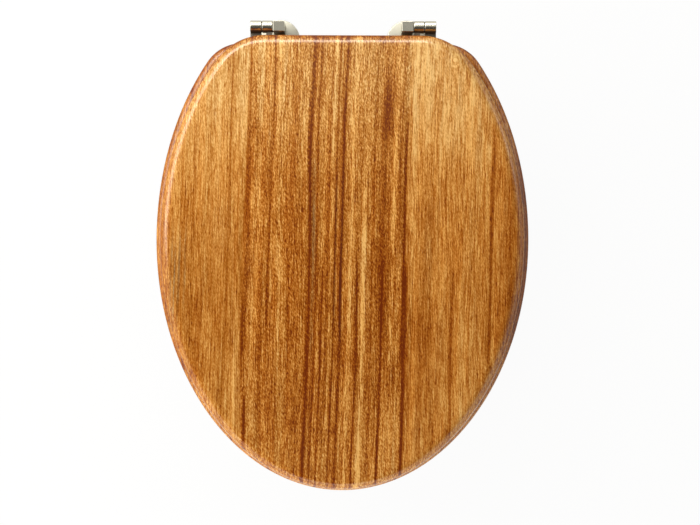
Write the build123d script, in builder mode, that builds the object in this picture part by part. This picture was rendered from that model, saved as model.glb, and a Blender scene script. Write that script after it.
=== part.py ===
"""Wooden toilet seat with lid, two post hinges and their fixings through the bowl.

The frame: X across the seat, +Y to the back, +Z up, in millimetres. The origin lies on the bowl's top
face, midway between the two fixing studs.
"""

import os
from math import asin, atan2, cos, degrees, radians, sin

from build123d import *

os.makedirs("parts", exist_ok=True)

SIDES = {"left": -1, "right": 1}

# Driving dimensions: the seat ring in plan, measured from the hinge axis and the widest line
seat_width = 370.0
widest_line = 201.0
ring_front_reach = 249.0
ring_back_reach = 258.0
ring_back_gap = 14.6
ring_corner_radius = 42.0
opening_width = 230.0
opening_ahead = 26.0
opening_front_reach = 146.0
opening_back_reach = 132.0

# The lid in plan: it stands back from the ring at the sides and the front
lid_side_inset = 6.0
lid_front_inset = 4.0
lid_back_reach = 244.0
lid_back_gap = 9.4
lid_corner_radius = 58.0

# Thicknesses and edges of the two boards
ring_thickness = 18.0
ring_top_round = 8.0
ring_bottom_round = 3.0
lid_thickness = 16.5
lid_top_round = 11.5
lid_bottom_round = 2.5
lid_gap = 4.5

# Hinge base: a domed round foot on a gasket, with a square post behind its middle
stud_spacing = 140.0
post_offset = 6.5
axis_setback = 9.0
gasket_thickness = 2.0
gasket_inset = 0.6
foot_radius = 20.0
foot_height = 8.5
foot_dome = 1.8
foot_edge_round = 1.2
foot_to_ring = 2.5
post_width = 11.5
post_depth = 10.5
post_over_barrel = 0.2
post_edge_round = 0.6

# Keyhole slot under the foot, for the stud's head
slot_lip = 2.5
slot_play = 0.3
slot_spare = 2.5
entry_distance = 13.5

# Stud and what holds it under the bowl
stud_radius = 4.0
stud_head_radius = 7.5
stud_head_height = 3.4
stud_neck_side = 8.0
stud_shank_length = 10.0
thread_radius = 3.6
thread_chamfer = 1.2
stud_below_nut = 14.0
thread_play = 0.1
washer_play = 0.2
bowl_thickness = 18.0
cone_height = 6.0
cone_top_radius = 6.2
cone_base_radius = 9.0
cone_flange_radius = 12.5
cone_flange_height = 3.0
washer_radius = 11.0
washer_thickness = 1.6
washer_chamfer = 0.25
nut_hub_radius = 8.0
nut_flange_radius = 10.5
nut_flange_height = 2.4
nut_height = 13.0
nut_edge_round = 0.8
wing_reach = 19.0
wing_thickness = 4.0
wing_drop = 4.0
wing_tip_radius = 5.0
wing_edge_round = 1.2

# Pin, bushes and barrels, in their order outwards from the post
pin_radius = 2.5
pin_fit = 0.05
pin_seat_wall = 2.0
pin_head_radius = 4.4
pin_head_thickness = 1.6
pin_head_play = 0.1
pin_flat_depth = 0.4
grub_radius = 2.0
grub_recess = 0.5
grub_fit = 0.02
grub_socket_radius = 0.9
grub_socket_depth = 1.2
bush_wall = 1.1
bush_fit = 0.02
bush_flange_radius = 5.5
bush_flange_thickness = 0.6
end_play = 0.1
barrel_radius = 6.0
barrel_edge_round = 0.5
lid_barrel_length = 10.0
seat_barrel_length = 11.0

# Hinge leaves and their wood screws
leaf_thickness = 2.0
leaf_margin = 2.0
leaf_length = 40.0
leaf_corner_radius = 8.0
seat_leaf_width = 26.0
lid_leaf_width = 26.0
lid_neck_width = 6.0
leaf_screw_edge = 7.5
screw_radius = 1.9
screw_head_radius = 3.7
screw_length = 13.0
screw_tip = 3.0
screw_fit = 0.05
countersink_angle = 90.0
recess_width = 1.0
recess_length = 4.2
recess_depth = 1.2

# Soft feet under the ring and soft pads under the lid
foot_pad_length = 36.0
foot_pad_width = 13.0
foot_pad_round = 2.0
foot_pad_screw_pitch = 16.0
foot_pad_skin = 4.0
lid_pad_radius = 8.0
lid_pad_round = 1.0
lid_pad_play = 0.1
lid_pad_skin = 1.6
pad_screw_radius = 1.6
pad_screw_head_radius = 3.0
pad_screw_head_height = 1.5
pad_screw_bite = 8.0
pad_recess_width = 0.9
pad_recess_length = 3.4
pad_recess_depth = 0.8
front_pad_angle = -50.0
back_pad_angle = 35.0

# Levels and lines that follow from the sizes above
foot_top = gasket_thickness + foot_height
foot_rim = foot_top - foot_dome
dome_radius = (foot_radius**2 + foot_dome**2) / (2 * foot_dome)
ring_low = foot_top + foot_to_ring
ring_top = ring_low + ring_thickness
lid_low = ring_top + lid_gap
axis_y = axis_setback
axis_z = ring_top + lid_gap / 2
post_top = axis_z + barrel_radius + post_over_barrel
ring_back = axis_y - ring_back_gap
lid_back = axis_y - lid_back_gap
opening_line = widest_line + opening_ahead
stud_x = stud_spacing / 2
post_x = stud_x - post_offset

# The row of pieces along the hinge pin, from the post outwards
bush_radius = pin_radius + pin_fit + bush_wall
flange_room = end_play + bush_flange_thickness
post_outer = post_x + post_width / 2
lid_barrel_start = post_outer + flange_room
lid_barrel_end = lid_barrel_start + lid_barrel_length
seat_barrel_start = lid_barrel_end + flange_room
seat_barrel_end = seat_barrel_start + seat_barrel_length
pin_start = post_x - post_width / 2 + pin_seat_wall
head_recess = pin_head_thickness + pin_head_play

# The slot's ends and the clamped stack under the bowl
slot_width = stud_neck_side + 2 * slot_play
slot_end = stud_x + slot_spare
entry_x = stud_x - entry_distance
entry_radius = stud_head_radius + slot_play
lip_top = gasket_thickness + slot_lip
cavity_top = lip_top + stud_head_height + slot_play
washer_bore = stud_radius + washer_play
cone_low = -bowl_thickness - cone_flange_height
washer_low = cone_low - washer_thickness
nut_low = washer_low - nut_height
stud_low = nut_low - stud_below_nut


def save(part, name):
    """Label a finished piece and write it."""
    part.label = name
    export_step(part, f"parts/{name}.step")


def egg_board(half_width, front_reach, back_reach, back_line, corner_radius, low, thickness):
    """Return a board of two half ellipses that meet on the widest line, straight across the back."""
    centre = (0, -widest_line)
    back_angle = degrees(asin((back_line + widest_line) / back_reach))
    with BuildPart() as board:
        with BuildSketch(Plane.XY.offset(low)):
            with BuildLine():
                right = EllipticalCenterArc(centre, half_width, back_reach, 0, arc_size=back_angle)
                left = EllipticalCenterArc(
                    centre, half_width, back_reach, 180 - back_angle, arc_size=back_angle
                )
                EllipticalCenterArc(centre, half_width, front_reach, 180, arc_size=180)
                Line(right @ 1, left @ 0)
            make_face()
        extrude(amount=thickness)
        fillet(board.edges().filter_by(Axis.Z).sort_by(Axis.Y)[-2:], corner_radius)
    return board.part


def band_spot(sign, angle, front):
    """Return a place halfway between the ring's two edges, as x, y and the band's direction there."""
    half_width = (seat_width + opening_width) / 4
    reach = (ring_back_reach + opening_back_reach) / 2
    if front:
        reach = (ring_front_reach + opening_front_reach) / 2
    x = half_width * cos(radians(angle))
    y = reach * sin(radians(angle)) - (widest_line + opening_line) / 2
    slope = atan2(reach * cos(radians(angle)), -sign * half_width * sin(radians(angle)))
    return sign * x, y, degrees(slope)


PAD_SPOTS = {}
for side, sign in SIDES.items():
    PAD_SPOTS[f"front_{side}"] = band_spot(sign, front_pad_angle, True)
    PAD_SPOTS[f"back_{side}"] = band_spot(sign, back_pad_angle, False)


def foot_pad_screws(x, y, turn):
    """Return the places of the two screws in a foot under the ring."""
    step_x = foot_pad_screw_pitch / 2 * cos(radians(turn))
    step_y = foot_pad_screw_pitch / 2 * sin(radians(turn))
    return [(x - step_x, y - step_y), (x + step_x, y + step_y)]


FOOT_SCREW_SPOTS = [spot for place in PAD_SPOTS.values() for spot in foot_pad_screws(*place)]


def leaf_screw_spots(sign, inner, outer, start):
    """Return the three screw places of a leaf: two at the free end and one at the hinge end."""
    near_edge = axis_y - start - leaf_screw_edge
    far_edge = axis_y - start - leaf_length + leaf_screw_edge
    middle = (inner + outer) / 2
    return [
        (sign * (inner + leaf_screw_edge), far_edge),
        (sign * (outer - leaf_screw_edge), far_edge),
        (sign * middle, near_edge),
    ]


# The seat leaf reaches outwards from its barrel, the lid leaf inwards in front of the post
seat_leaf_start = ring_back_gap + ring_top_round + leaf_margin
seat_leaf_inner = seat_barrel_start
seat_leaf_outer = seat_leaf_inner + seat_leaf_width
lid_leaf_start = lid_back_gap + lid_bottom_round + leaf_margin
lid_leaf_outer = lid_barrel_end
lid_leaf_inner = lid_leaf_outer - lid_leaf_width
SEAT_LEAF_SPOTS = [
    spot
    for sign in SIDES.values()
    for spot in leaf_screw_spots(sign, seat_leaf_inner, seat_leaf_outer, seat_leaf_start)
]
LID_LEAF_SPOTS = [
    spot
    for sign in SIDES.values()
    for spot in leaf_screw_spots(sign, lid_leaf_inner, lid_leaf_outer, lid_leaf_start)
]
leaf_pilot = screw_length - leaf_thickness + screw_fit

# Seat ring: an egg-shaped board with an open middle, rounded top edges and pilot holes
ring_blank = egg_board(
    seat_width / 2,
    ring_front_reach,
    ring_back_reach,
    ring_back,
    ring_corner_radius,
    ring_low,
    ring_thickness,
)
with BuildPart() as seat_ring:
    add(ring_blank)
    with BuildSketch(Plane.XY.offset(ring_low)):
        with BuildLine():
            middle = (0, -opening_line)
            EllipticalCenterArc(middle, opening_width / 2, opening_back_reach, 0, arc_size=180)
            EllipticalCenterArc(middle, opening_width / 2, opening_front_reach, 180, arc_size=180)
        make_face()
    extrude(amount=ring_thickness, mode=Mode.SUBTRACT)
    fillet(seat_ring.faces().sort_by(Axis.Z)[-1].edges(), ring_top_round)
    fillet(seat_ring.faces().sort_by(Axis.Z)[0].edges(), ring_bottom_round)
    with Locations(*[(x, y, ring_top) for x, y in SEAT_LEAF_SPOTS]):
        Hole(screw_radius + screw_fit, leaf_pilot)
    with Locations(*[Location((x, y, ring_low), (180, 0, 0)) for x, y in FOOT_SCREW_SPOTS]):
        Hole(pad_screw_radius + screw_fit, pad_screw_bite)
save(seat_ring.part, "seat_ring")

# Lid: the same form without the opening, a little smaller than the ring
lid_blank = egg_board(
    seat_width / 2 - lid_side_inset,
    ring_front_reach - lid_front_inset,
    lid_back_reach,
    lid_back,
    lid_corner_radius,
    lid_low,
    lid_thickness,
)
with BuildPart() as lid:
    add(lid_blank)
    fillet(lid.faces().sort_by(Axis.Z)[-1].edges(), lid_top_round)
    fillet(lid.faces().sort_by(Axis.Z)[0].edges(), lid_bottom_round)
    with Locations(*[Location((x, y, lid_low), (180, 0, 0)) for x, y in LID_LEAF_SPOTS]):
        Hole(screw_radius + screw_fit, leaf_pilot)
    with Locations(*[Location((x, y, lid_low), (180, 0, 0)) for x, y, _ in PAD_SPOTS.values()]):
        Hole(pad_screw_radius + screw_fit, pad_screw_bite)
save(lid.part, "lid")


def keyhole(sign, grow):
    """Draw the keyhole outline in plan: a round entry and a slot that runs outwards from it."""
    slot_half = (slot_end - entry_x) / 2
    with Locations((sign * entry_x, 0)):
        Circle(entry_radius + grow)
    with Locations((sign * (entry_x + slot_half), 0)):
        SlotCenterToCenter(2 * slot_half, slot_width + 2 * grow)


# Hinge bases: domed round foot and square post in one casting
for side, sign in SIDES.items():
    with BuildPart() as hinge_base:
        with BuildSketch(Plane.XY.offset(gasket_thickness)):
            with Locations((sign * post_x, 0)):
                Circle(foot_radius)
        extrude(amount=foot_height)
        with Locations((sign * post_x, 0, foot_top - dome_radius)):
            Sphere(dome_radius, mode=Mode.INTERSECT)
        rim = hinge_base.edges().sort_by(SortBy.LENGTH)[-2:].sort_by(Axis.Z)[-1]
        fillet(rim, foot_edge_round)
        with BuildSketch(Plane.XY.offset(foot_rim)):
            with Locations((sign * post_x, axis_y)):
                RectangleRounded(post_width, post_depth, post_edge_round)
        extrude(amount=post_top - foot_rim)
        fillet(hinge_base.faces().sort_by(Axis.Z)[-1].edges(), post_edge_round)
        # blind seat for the pin, open to the outside
        with BuildSketch(Plane.YZ.offset(sign * pin_start)):
            with Locations((axis_y, axis_z)):
                Circle(pin_radius)
        extrude(amount=sign * (post_outer - pin_start), mode=Mode.SUBTRACT)
        # tapped hole for the grub screw, from the back of the post
        with BuildSketch(Plane.XZ.offset(-axis_y)):
            with Locations((sign * post_x, axis_z)):
                Circle(grub_radius + grub_fit)
        extrude(amount=-post_depth / 2, mode=Mode.SUBTRACT)
        # keyhole through the lip, and the head's room above it
        with BuildSketch(Plane.XY.offset(gasket_thickness)):
            keyhole(sign, 0)
        extrude(amount=slot_lip, mode=Mode.SUBTRACT)
        with BuildSketch(Plane.XY.offset(lip_top)):
            with Locations((sign * (entry_x + slot_end) / 2, 0)):
                SlotCenterToCenter(slot_end - entry_x, 2 * entry_radius)
        extrude(amount=cavity_top - lip_top, mode=Mode.SUBTRACT)
    save(hinge_base.part, f"hinge_base_{side}")

    with BuildPart() as base_gasket:
        with BuildSketch():
            with Locations((sign * post_x, 0)):
                Circle(foot_radius - gasket_inset)
            with Locations((sign * (entry_x + slot_end) / 2, 0)):
                SlotCenterToCenter(slot_end - entry_x, 2 * entry_radius, mode=Mode.SUBTRACT)
        extrude(amount=gasket_thickness)
    save(base_gasket.part, f"base_gasket_{side}")

# Studs: cup head, square neck in the slot, plain shank in the bowl's hole, thread below it
for side, sign in SIDES.items():
    with BuildPart() as stud:
        with BuildSketch(Plane.XY.offset(lip_top)):
            with Locations((sign * stud_x, 0)):
                Circle(stud_head_radius)
        extrude(amount=stud_head_height)
        fillet(stud.edges().group_by(Axis.Z)[-1], stud_head_height / 2)
        with BuildSketch():
            with Locations((sign * stud_x, 0)):
                Rectangle(stud_neck_side, stud_neck_side)
        extrude(amount=lip_top)
        with BuildSketch():
            with Locations((sign * stud_x, 0)):
                Circle(stud_radius)
        extrude(amount=-stud_shank_length)
        with BuildSketch(Plane.XY.offset(-stud_shank_length)):
            with Locations((sign * stud_x, 0)):
                Circle(thread_radius)
        extrude(amount=stud_low + stud_shank_length)
        chamfer(stud.edges().group_by(Axis.Z)[0], thread_chamfer)
    save(stud.part, f"stud_{side}")

    with BuildPart() as cone_washer:
        with BuildSketch(Plane.XZ):
            with BuildLine():
                Polyline(
                    (washer_bore, cone_low),
                    (cone_flange_radius, cone_low),
                    (cone_flange_radius, -bowl_thickness),
                    (cone_base_radius, -bowl_thickness),
                    (cone_top_radius, -bowl_thickness + cone_height),
                    (washer_bore, -bowl_thickness + cone_height),
                    close=True,
                )
            make_face()
        revolve(axis=Axis.Z)
    save(Pos(sign * stud_x, 0, 0) * cone_washer.part, f"cone_washer_{side}")

    with BuildPart() as flat_washer:
        with BuildSketch(Plane.XY.offset(washer_low)):
            with Locations((sign * stud_x, 0)):
                Circle(washer_radius)
                Circle(washer_bore, mode=Mode.SUBTRACT)
        extrude(amount=washer_thickness)
        chamfer(flat_washer.edges().filter_by(GeomType.CIRCLE), washer_chamfer)
    save(flat_washer.part, f"flat_washer_{side}")

    # two wings that lean down from the nut's flange to round tips
    tip_z = nut_low - wing_drop + wing_tip_radius
    with BuildPart() as wings:
        with BuildSketch(Plane.XZ):
            for wing in (-1, 1):
                tip_x = sign * stud_x + wing * (wing_reach - wing_tip_radius)
                with BuildLine():
                    Polyline(
                        (sign * stud_x, washer_low - nut_flange_height),
                        (tip_x, tip_z + wing_tip_radius),
                        (tip_x, tip_z - wing_tip_radius),
                        (sign * stud_x, nut_low),
                        close=True,
                    )
                make_face()
                with Locations((tip_x, tip_z)):
                    Circle(wing_tip_radius)
        extrude(amount=wing_thickness / 2, both=True)
        fillet(wings.faces().filter_by(Axis.Y).edges(), wing_edge_round)

    with BuildPart() as wing_nut:
        with BuildSketch(Plane.XY.offset(washer_low)):
            with Locations((sign * stud_x, 0)):
                Circle(nut_flange_radius)
        extrude(amount=-nut_flange_height)
        with BuildSketch(Plane.XY.offset(washer_low)):
            with Locations((sign * stud_x, 0)):
                Circle(nut_hub_radius)
        extrude(amount=-nut_height)
        fillet(wing_nut.edges().filter_by(GeomType.CIRCLE).group_by(SortBy.RADIUS)[-1], nut_edge_round)
        fillet(wing_nut.edges().group_by(Axis.Z)[0], nut_edge_round)
        add(wings.part)
        with BuildSketch(Plane.XY.offset(washer_low)):
            with Locations((sign * stud_x, 0)):
                Circle(thread_radius + thread_play)
        extrude(amount=-nut_height - wing_drop, mode=Mode.SUBTRACT)
    save(wing_nut.part, f"wing_nut_{side}")

# Hinge pins: headed at the outside, with a flat for the grub screw inside the post
for side, sign in SIDES.items():
    with BuildPart() as hinge_pin:
        with BuildSketch(Plane.YZ.offset(sign * pin_start)):
            with Locations((axis_y, axis_z)):
                Circle(pin_radius)
        extrude(amount=sign * (seat_barrel_end - pin_start))
        with BuildSketch(Plane.YZ.offset(sign * (seat_barrel_end - pin_head_thickness))):
            with Locations((axis_y, axis_z)):
                Circle(pin_head_radius)
        extrude(amount=sign * pin_head_thickness)
        with BuildSketch(Plane.XZ.offset(-axis_y - pin_radius + pin_flat_depth)):
            with Locations((sign * post_x, axis_z)):
                Rectangle(2 * grub_radius, 2 * pin_radius)
        extrude(amount=-pin_flat_depth, mode=Mode.SUBTRACT)
    save(hinge_pin.part, f"hinge_pin_{side}")

with BuildPart() as grub_screws:
    for sign in SIDES.values():
        with BuildSketch(Plane.XZ.offset(-axis_y - pin_radius + pin_flat_depth)):
            with Locations((sign * post_x, axis_z)):
                Circle(grub_radius)
        extrude(amount=-(post_depth / 2 - grub_recess - pin_radius + pin_flat_depth))
        with BuildSketch(Plane.XZ.offset(-axis_y - post_depth / 2 + grub_recess)):
            with Locations((sign * post_x, axis_z)):
                RegularPolygon(grub_socket_radius, 6)
        extrude(amount=grub_socket_depth, mode=Mode.SUBTRACT)
save(grub_screws.part, "grub_screws")


def flanged_bush(sign, barrel_start, length):
    """Return a bush with a flange on its inner end, on the hinge axis."""
    with BuildPart() as bush:
        with BuildSketch(Plane.YZ.offset(sign * barrel_start)):
            with Locations((axis_y, axis_z)):
                Circle(bush_radius)
        extrude(amount=sign * length)
        with BuildSketch(Plane.YZ.offset(sign * barrel_start)):
            with Locations((axis_y, axis_z)):
                Circle(bush_flange_radius)
        extrude(amount=-sign * bush_flange_thickness)
        with BuildSketch(Plane.YZ.offset(sign * (barrel_start - bush_flange_thickness))):
            with Locations((axis_y, axis_z)):
                Circle(pin_radius + pin_fit)
        extrude(amount=sign * (length + bush_flange_thickness), mode=Mode.SUBTRACT)
    return bush.part


for side, sign in SIDES.items():
    save(flanged_bush(sign, lid_barrel_start, lid_barrel_length), f"lid_bush_{side}")
    save(flanged_bush(sign, seat_barrel_start, seat_barrel_length - head_recess), f"seat_bush_{side}")


def leaf_blank(sign, barrel_start, barrel_length, neck_width, inner, outer, start, low):
    """Return a leaf with its barrel, before its screw holes: a round barrel, a neck and a flat plate."""
    with BuildPart() as leaf:
        with BuildSketch(Plane.YZ.offset(sign * barrel_start)):
            with Locations((axis_y, axis_z)):
                Circle(barrel_radius)
        extrude(amount=sign * barrel_length)
        fillet(leaf.edges().filter_by(GeomType.CIRCLE), barrel_edge_round)
        with BuildSketch(Plane.XY.offset(low)):
            with Locations((sign * (inner + outer) / 2, axis_y - start - leaf_length / 2)):
                RectangleRounded(outer - inner, leaf_length, leaf_corner_radius)
            neck_reach = start + leaf_corner_radius
            with Locations((sign * (barrel_start + neck_width / 2), axis_y - neck_reach / 2)):
                Rectangle(neck_width, neck_reach)
        extrude(amount=leaf_thickness)
        with BuildSketch(Plane.YZ.offset(sign * barrel_start)):
            with Locations((axis_y, axis_z)):
                Circle(bush_radius + bush_fit)
        extrude(amount=sign * barrel_length, mode=Mode.SUBTRACT)
    return leaf.part


for side, sign in SIDES.items():
    seat_leaf_blank = leaf_blank(
        sign,
        seat_barrel_start,
        seat_barrel_length,
        seat_barrel_length,
        seat_leaf_inner,
        seat_leaf_outer,
        seat_leaf_start,
        ring_top,
    )
    with BuildPart() as seat_leaf:
        add(seat_leaf_blank)
        # recess for the pin's head in the barrel's outer end
        with BuildSketch(Plane.YZ.offset(sign * (seat_barrel_end - head_recess))):
            with Locations((axis_y, axis_z)):
                Circle(pin_head_radius + pin_head_play)
        extrude(amount=sign * head_recess, mode=Mode.SUBTRACT)
        spots = leaf_screw_spots(sign, seat_leaf_inner, seat_leaf_outer, seat_leaf_start)
        with Locations(*[(x, y, ring_top + leaf_thickness) for x, y in spots]):
            CounterSinkHole(
                screw_radius + screw_fit,
                screw_head_radius + screw_fit,
                leaf_thickness,
                countersink_angle,
            )
    save(seat_leaf.part, f"seat_leaf_{side}")

    lid_leaf_blank = leaf_blank(
        sign,
        lid_barrel_start,
        lid_barrel_length,
        lid_neck_width,
        lid_leaf_inner,
        lid_leaf_outer,
        lid_leaf_start,
        lid_low - leaf_thickness,
    )
    with BuildPart() as lid_leaf:
        add(lid_leaf_blank)
        spots = leaf_screw_spots(sign, lid_leaf_inner, lid_leaf_outer, lid_leaf_start)
        with Locations(*[Location((x, y, lid_low - leaf_thickness), (180, 0, 0)) for x, y in spots]):
            CounterSinkHole(
                screw_radius + screw_fit,
                screw_head_radius + screw_fit,
                leaf_thickness,
                countersink_angle,
            )
    save(lid_leaf.part, f"lid_leaf_{side}")

# Countersunk wood screw with a cross recess, head up, its top face on the XY plane
with BuildPart() as wood_screw:
    with BuildSketch(Plane.XZ):
        with BuildLine():
            Polyline(
                (0, 0),
                (screw_head_radius, 0),
                (screw_radius, screw_radius - screw_head_radius),
                (screw_radius, screw_tip - screw_length),
                (0, -screw_length),
                close=True,
            )
        make_face()
    revolve(axis=Axis.Z)
    with BuildSketch():
        Rectangle(recess_length, recess_width)
        Rectangle(recess_width, recess_length)
    extrude(amount=-recess_depth, mode=Mode.SUBTRACT)

with BuildPart() as seat_leaf_screws:
    with Locations(*[(x, y, ring_top + leaf_thickness) for x, y in SEAT_LEAF_SPOTS]):
        add(wood_screw.part)
save(seat_leaf_screws.part, "seat_leaf_screws")

with BuildPart() as lid_leaf_screws:
    with Locations(*[Location((x, y, lid_low - leaf_thickness), (180, 0, 0)) for x, y in LID_LEAF_SPOTS]):
        add(wood_screw.part)
save(lid_leaf_screws.part, "lid_leaf_screws")

# Soft feet under the ring: long round-ended blocks with deep screw holes
for spot, (x, y, turn) in PAD_SPOTS.items():
    with BuildPart() as seat_buffer:
        with BuildSketch(Plane.XY.offset(ring_low)):
            with Locations((x, y)):
                SlotOverall(foot_pad_length, foot_pad_width, rotation=turn)
        extrude(amount=-ring_low)
        fillet(seat_buffer.faces().sort_by(Axis.Z)[0].edges(), foot_pad_round)
        holes = foot_pad_screws(x, y, turn)
        with Locations(*[Location((hole_x, hole_y, 0), (180, 0, 0)) for hole_x, hole_y in holes]):
            CounterBoreHole(
                pad_screw_radius + screw_fit,
                pad_screw_head_radius + screw_fit,
                ring_low - foot_pad_skin,
                ring_low,
            )
    save(seat_buffer.part, f"seat_buffer_{spot}")

# Soft round pads under the lid, each with a sunk screw
for spot, (x, y, turn) in PAD_SPOTS.items():
    pad_low = ring_top + lid_pad_play
    with BuildPart() as lid_buffer:
        with BuildSketch(Plane.XY.offset(lid_low)):
            with Locations((x, y)):
                Circle(lid_pad_radius)
        extrude(amount=pad_low - lid_low)
        fillet(lid_buffer.faces().sort_by(Axis.Z)[0].edges(), lid_pad_round)
        with Locations(Location((x, y, pad_low), (180, 0, 0))):
            CounterBoreHole(
                pad_screw_radius + screw_fit,
                pad_screw_head_radius + screw_fit,
                lid_low - pad_low - lid_pad_skin,
                lid_low - pad_low,
            )
    save(lid_buffer.part, f"lid_buffer_{spot}")


def pad_screw(skin):
    """Return a cross-recessed pan head screw, head down, for a pad this thick, with the board's face on XY."""
    with BuildPart() as screw:
        with BuildSketch(Plane.XY.offset(-skin)):
            Circle(pad_screw_head_radius)
        extrude(amount=-pad_screw_head_height)
        fillet(screw.edges().group_by(Axis.Z)[0], pad_screw_head_height / 2)
        with BuildSketch(Plane.XY.offset(-skin - pad_screw_head_height)):
            Rectangle(pad_recess_length, pad_recess_width)
            Rectangle(pad_recess_width, pad_recess_length)
        extrude(amount=pad_recess_depth, mode=Mode.SUBTRACT)
        with BuildSketch(Plane.XY.offset(-skin)):
            Circle(pad_screw_radius)
        extrude(amount=skin + pad_screw_bite - screw_fit)
    return screw.part


seat_pad_screw = pad_screw(foot_pad_skin)
with BuildPart() as seat_buffer_screws:
    with Locations(*[(x, y, ring_low) for x, y in FOOT_SCREW_SPOTS]):
        add(seat_pad_screw)
save(seat_buffer_screws.part, "seat_buffer_screws")

lid_pad_screw = pad_screw(lid_pad_skin)
with BuildPart() as lid_buffer_screws:
    with Locations(*[(x, y, lid_low) for x, y, _ in PAD_SPOTS.values()]):
        add(lid_pad_screw)
save(lid_buffer_screws.part, "lid_buffer_screws")
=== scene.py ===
"""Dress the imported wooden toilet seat: lacquered boards, plated hinges and the fixings under the bowl.

The frame is the part's own, in metres: X across the seat, +Y to the back and +Z up, with the origin on the
bowl's top face midway between the studs. Grain sizes are in millimetres.
"""

import logging
import math
from collections.abc import Sequence
from dataclasses import asdict, dataclass, field
from enum import Enum

import bmesh
import bpy
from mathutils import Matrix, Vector


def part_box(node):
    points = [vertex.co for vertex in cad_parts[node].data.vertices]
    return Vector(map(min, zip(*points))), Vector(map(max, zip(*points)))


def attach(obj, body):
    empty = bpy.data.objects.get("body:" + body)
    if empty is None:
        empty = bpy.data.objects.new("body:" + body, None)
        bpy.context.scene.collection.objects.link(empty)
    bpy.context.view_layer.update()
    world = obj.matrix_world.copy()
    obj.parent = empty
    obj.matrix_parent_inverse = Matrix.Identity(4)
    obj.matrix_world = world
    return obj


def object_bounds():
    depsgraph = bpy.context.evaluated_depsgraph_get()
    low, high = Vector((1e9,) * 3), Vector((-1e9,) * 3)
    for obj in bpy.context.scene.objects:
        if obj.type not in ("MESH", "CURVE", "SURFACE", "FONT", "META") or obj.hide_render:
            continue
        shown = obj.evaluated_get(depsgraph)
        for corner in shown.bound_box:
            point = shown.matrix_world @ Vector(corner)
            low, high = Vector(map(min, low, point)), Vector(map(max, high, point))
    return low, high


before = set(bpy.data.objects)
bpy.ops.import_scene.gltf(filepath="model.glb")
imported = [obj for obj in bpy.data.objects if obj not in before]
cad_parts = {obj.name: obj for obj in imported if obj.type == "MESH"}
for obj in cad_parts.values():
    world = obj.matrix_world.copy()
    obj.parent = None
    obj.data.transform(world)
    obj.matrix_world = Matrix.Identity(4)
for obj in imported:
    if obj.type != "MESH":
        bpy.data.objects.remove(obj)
CAD_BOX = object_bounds()

LOG = logging.getLogger("toilet_seat")
MM_PER_M = 1000.0
MM = 1.0 / MM_PER_M

Socket = bpy.types.NodeSocket
Value = float | tuple[float, ...] | Socket
Pair = tuple[float, float]
Colour = tuple[float, float, float, float]
WHITE: Colour = (1.0, 1.0, 1.0, 1.0)


class Body(Enum):
    """The bodies of the part."""

    HINGE_POSTS = "hinge_posts"
    SEAT = "seat"
    LID = "lid"


class Side(Enum):
    """The two sides of the seat, with the sign of X on each."""

    LEFT = -1
    RIGHT = 1

    @property
    def label(self) -> str:
        """Return the word that node names use for this side."""
        return self.name.lower()


class Slot(Enum):
    """The record's material slots, by name."""

    ZINC = "zinc_steel"


class Stretch(Enum):
    """Where along a board a streak runs, as start and end in mm to the front of the studs."""

    WHOLE = (-40.0, 500.0)
    BACK = (-40.0, 170.0)
    MIDDLE = (110.0, 300.0)
    FRONT = (250.0, 500.0)
    BACK_HALF = (-40.0, 270.0)
    FRONT_HALF = (170.0, 500.0)


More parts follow.
